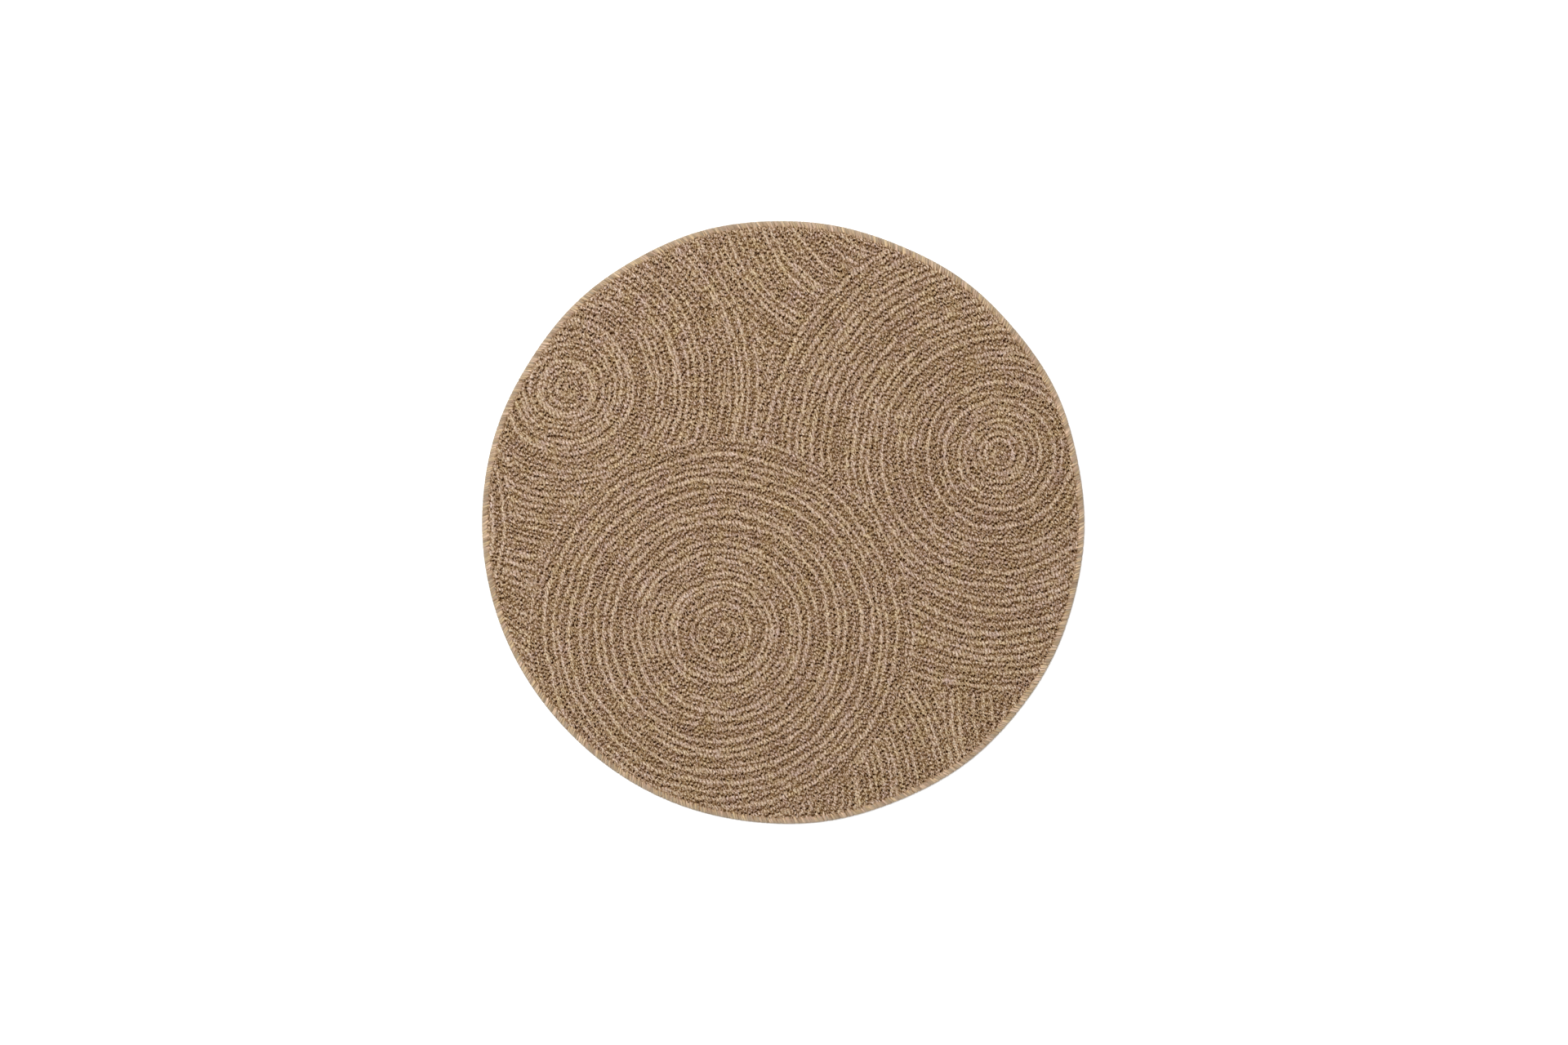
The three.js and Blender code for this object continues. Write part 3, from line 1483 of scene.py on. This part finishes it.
@dataclass
class SergedEdge:
    """The sewn edge: a core band round the rim, and strands of yarn sewn over it."""

    rim: Rim
    maker: StitchMaker
    # The middle of a strand goes out over the top, round the rim and back below. It lies half
    # the strand's thickness inside the edge, which is 6.2 mm high.
    way: tuple[WayPoint, ...] = (
        WayPoint(12.5, 4.5, -1.0),
        WayPoint(10.8, 4.95, -0.85),
        WayPoint(8.0, 5.45, -0.6),
        WayPoint(3.2, 5.4, -0.25),
        WayPoint(1.35, 4.4, -0.08),
        WayPoint(0.75, 3.1, 0.0),
        WayPoint(1.35, 1.8, 0.08),
        WayPoint(3.2, 0.75, 0.25),
        WayPoint(8.0, 0.75, 0.6),
        WayPoint(11.8, 0.85, 1.0),
    )
    strand_pitch: float = 3.5
    lean: float = 6.2
    half_width: float = 1.55
    half_thickness: float = 0.75
    end_taper: float = 0.55
    sides: int = 6
    # The core, as its distance in from the rim and its height at each corner.
    core_profile: tuple[tuple[float, float], ...] = (
        (10.5, 0.9),
        (3.0, 0.9),
        (1.1, 3.1),
        (3.0, 5.3),
        (10.5, 5.0),
    )
    core_tone: float = 0.0
    segments: int = 240
    # How the strands vary. Their places do so by a share of the step between them.
    place_spread: float = 0.2
    turn: Spread = Spread(0.0, 0.09)
    stretch: Spread = Spread(0.97, 0.14, 0.72, 1.18)
    girth: Spread = Spread(1.0, 0.15, 0.7, 1.25)
    tone: Spread = Spread(0.0, 0.19)
    tone_drift: Swells = ((22.0, 0.09),)
    warmth: Spread = Spread(0.0, 0.2)
    warmth_drift: Swells = ((22.0, 0.25),)
    seed: int = 41

    def strand(self) -> bpy.types.Object:
        """Make one strand as a flat-oval tube along its way, with the rim at the origin.

        Returns:
            The strand, hidden from view. Its UV map goes along it and round it.
        """
        way = np.array([(-point.inset, point.lean * self.lean, point.height) for point in self.way])
        heading = np.gradient(way, axis=0)
        heading /= np.linalg.norm(heading, axis=1)[:, None]
        sideways = np.tile([0.0, 1.0, 0.0], (len(way), 1))
        outward = np.cross(sideways, heading)
        outward /= np.linalg.norm(outward, axis=1)[:, None]
        sideways = np.cross(heading, outward)
        last = len(way) - 1
        points, faces = [], []
        for k in range(len(way)):
            girth = self.end_taper if k in (0, last) else 1.0
            for i in range(self.sides):
                angle = FULL_TURN * i / self.sides
                points.append(
                    way[k]
                    + sideways[k] * self.half_width * girth * math.cos(angle)
                    + outward[k] * self.half_thickness * girth * math.sin(angle)
                )
        for k in range(last):
            for i in range(self.sides):
                j = (i + 1) % self.sides
                a, b = k * self.sides, (k + 1) * self.sides
                faces.append((a + i, b + i, b + j, a + j))
        faces.append(tuple(range(self.sides)))
        faces.append(tuple(reversed(range(last * self.sides, len(way) * self.sides))))
        thing = mesh_object("edge_strand", np.array(points) / MM, faces)
        uv = thing.data.uv_layers.new(name="UVMap")
        for corner in thing.data.loops:
            k, i = divmod(corner.vertex_index, self.sides)
            uv.data[corner.index].uv = (k / last, i / self.sides)
        thing.hide_render = True
        return thing

    def core(self, finish: bpy.types.Material) -> bpy.types.Object:
        """Make the band under the strands, so that no gap shows through.

        Args:
            finish: the binding yarn.

        Returns:
            The band.
        """
        profile = [(self.rim.radius - inset, height) for inset, height in self.core_profile]
        points, faces = self.rim.turned(profile, self.segments)
        band = mesh_object("edge_core", points, faces)
        every = np.ones(len(points))
        write_numbers(band, {"tone": self.core_tone * every, "warmth": HALFWAY * every})
        band.data.uv_layers.new(name="UVMap")
        band.data.materials.append(finish)
        return band

    def build(self, finish: bpy.types.Material) -> bpy.types.Object:
        """Sew the edge round the rim.

        Args:
            finish: the binding yarn.

        Returns:
            The edge as one piece.
        """
        random = np.random.default_rng(self.seed)
        count = round(FULL_TURN * self.rim.radius / self.strand_pitch)
        step = FULL_TURN / count
        angle = np.arange(count) * step + random.normal(0, self.place_spread * step, count)
        reach = self.rim.radius + self.rim.unevenness(angle)
        places = np.column_stack([reach * np.cos(angle), reach * np.sin(angle), np.zeros(count)])
        places += self.rim.shift()
        x, y = places[:, 0], places[:, 1]
        tone = SmoothField(self.tone_drift, self.seed, HALFWAY).at(x, y)
        tone += self.tone.draw(random, count)
        warmth = SmoothField(self.warmth_drift, self.seed, HALFWAY).at(y, x)
        warmth += self.warmth.draw(random, count)
        numbers = {
            "turn": angle + self.turn.draw(random, count),
            "stretch": self.stretch.draw(random, count),
            "girth": self.girth.draw(random, count),
            "swell": np.ones(count),
            "tone": tone.clip(0, 1),
            "warmth": warmth.clip(0, 1),
        }
        strand = self.strand()
        inputs = {
            "Stitch": strand,
            "Length": MM,
            "Width": MM,
            "Height": MM,
            "Turn Spread": 0.0,
            "Seed": self.seed,
            "Finish": finish,
        }
        strands = self.maker.sew("edge_strands", places, numbers, inputs)
        bpy.data.objects.remove(strand)
        return joined("edge_stitching", [strands, self.core(finish)])


@dataclass(frozen=True)
class Studio:
    """A pale floor, soft light from all round and a long lens straight above, in metres."""

    white: str = "#ffffff"
    floor_side: float = 9.0
    floor_drop: float = 0.0004
    floor_roughness: float = 0.95
    floor_gloss: float = 0.1
    sky_strength: float = 0.735
    key_strength: float = 217.0
    key_side: float = 3.0
    key_place: tuple[float, float, float] = (-1.2, 1.5, 4.6)
    camera_height: float = 12.0
    camera_reach: float = 100.0
    sensor_mm: float = 36.0

    def build(self) -> None:
        """Set the floor, the lights and the camera."""
        self.lay_floor()
        self.light()
        self.set_camera()

    def lay_floor(self) -> None:
        """Lay the floor just under the rug."""
        half, drop = self.floor_side / 2 / MM, -self.floor_drop / MM
        corners = [(x * half, y * half, drop) for x, y in ((-1, -1), (1, -1), (1, 1), (-1, 1))]
        floor = mesh_object("floor", np.array(corners), [(0, 1, 2, 3)], smooth=False)
        # Matt white paper: to the eye an even white with soft edges to the shadow on it.
        material, tree = new_material("matt_white_paper")
        shader = add_node(
            tree,
            "ShaderNodeBsdfPrincipled",
            {
                "Base Color": srgb(self.white),
                "Roughness": self.floor_roughness,
                "Specular IOR Level": self.floor_gloss,
            },
        )
        add_node(tree, "ShaderNodeOutputMaterial", {"Surface": shader.outputs[0]})
        floor.data.materials.append(material)

    def light(self) -> None:
        """Light the rug evenly from all round, and a little more from the far left."""
        world = bpy.data.worlds.new("soft_white_room")
        world.use_nodes = True
        sky = world.node_tree.nodes["Background"]
        sky.inputs["Color"].default_value = srgb(self.white)
        sky.inputs["Strength"].default_value = self.sky_strength
        bpy.context.scene.world = world
        lamp = bpy.data.lights.new("key", "AREA")
        lamp.energy = self.key_strength
        lamp.size = self.key_side
        key = bpy.data.objects.new("key", lamp)
        key.location = self.key_place
        aim = -key.location.copy()
        key.rotation_euler = aim.to_track_quat("-Z", "Y").to_euler()
        bpy.context.scene.collection.objects.link(key)

    def set_camera(self) -> None:
        """Look straight down, with the rug where the photograph has it."""
        bpy.context.scene.view_settings.view_transform = "Standard"
        metres_per_px = RIM_RADIUS * MM / RUG_RADIUS_PX
        width = FRAME_WIDTH_PX * metres_per_px
        lens = bpy.data.cameras.new("camera")
        lens.sensor_width = self.sensor_mm
        lens.lens = self.sensor_mm * self.camera_height / width
        lens.clip_end = self.camera_reach
        camera = bpy.data.objects.new("camera", lens)
        camera.location = (
            (FRAME_WIDTH_PX / 2 - RUG_CENTRE_PX[0]) * metres_per_px,
            (RUG_CENTRE_PX[1] - FRAME_HEIGHT_PX / 2) * metres_per_px,
            self.camera_height,
        )
        bpy.context.scene.collection.objects.link(camera)
        bpy.context.scene.camera = camera


def main() -> None:
    """Build the rug and the studio, and report each piece."""
    logging.basicConfig(level=logging.INFO, format="%(name)s: %(message)s")
    rim, maker = Rim(), StitchMaker()
    pattern, cast = RingPattern(), YarnCast()
    weave = WovenCloth(rim, pattern, cast)
    cloth = weave.build(GroundWeave().material(), WeaveBack().material())
    face = WovenFace(rim, pattern, cast, Loom(), maker).build(FaceYarn().material())
    edge = SergedEdge(rim, maker).build(EdgeYarn().material())
    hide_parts("woven_field")
    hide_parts("serged_edge")
    for piece in (cloth, *face):
        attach(piece, BODY)
    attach(edge, BODY)
    Studio().build()
    for piece in (cloth, *face, edge):
        log.info("%s: %d triangles", piece.name, triangle_count(piece))


if __name__ == "__main__":
    main()
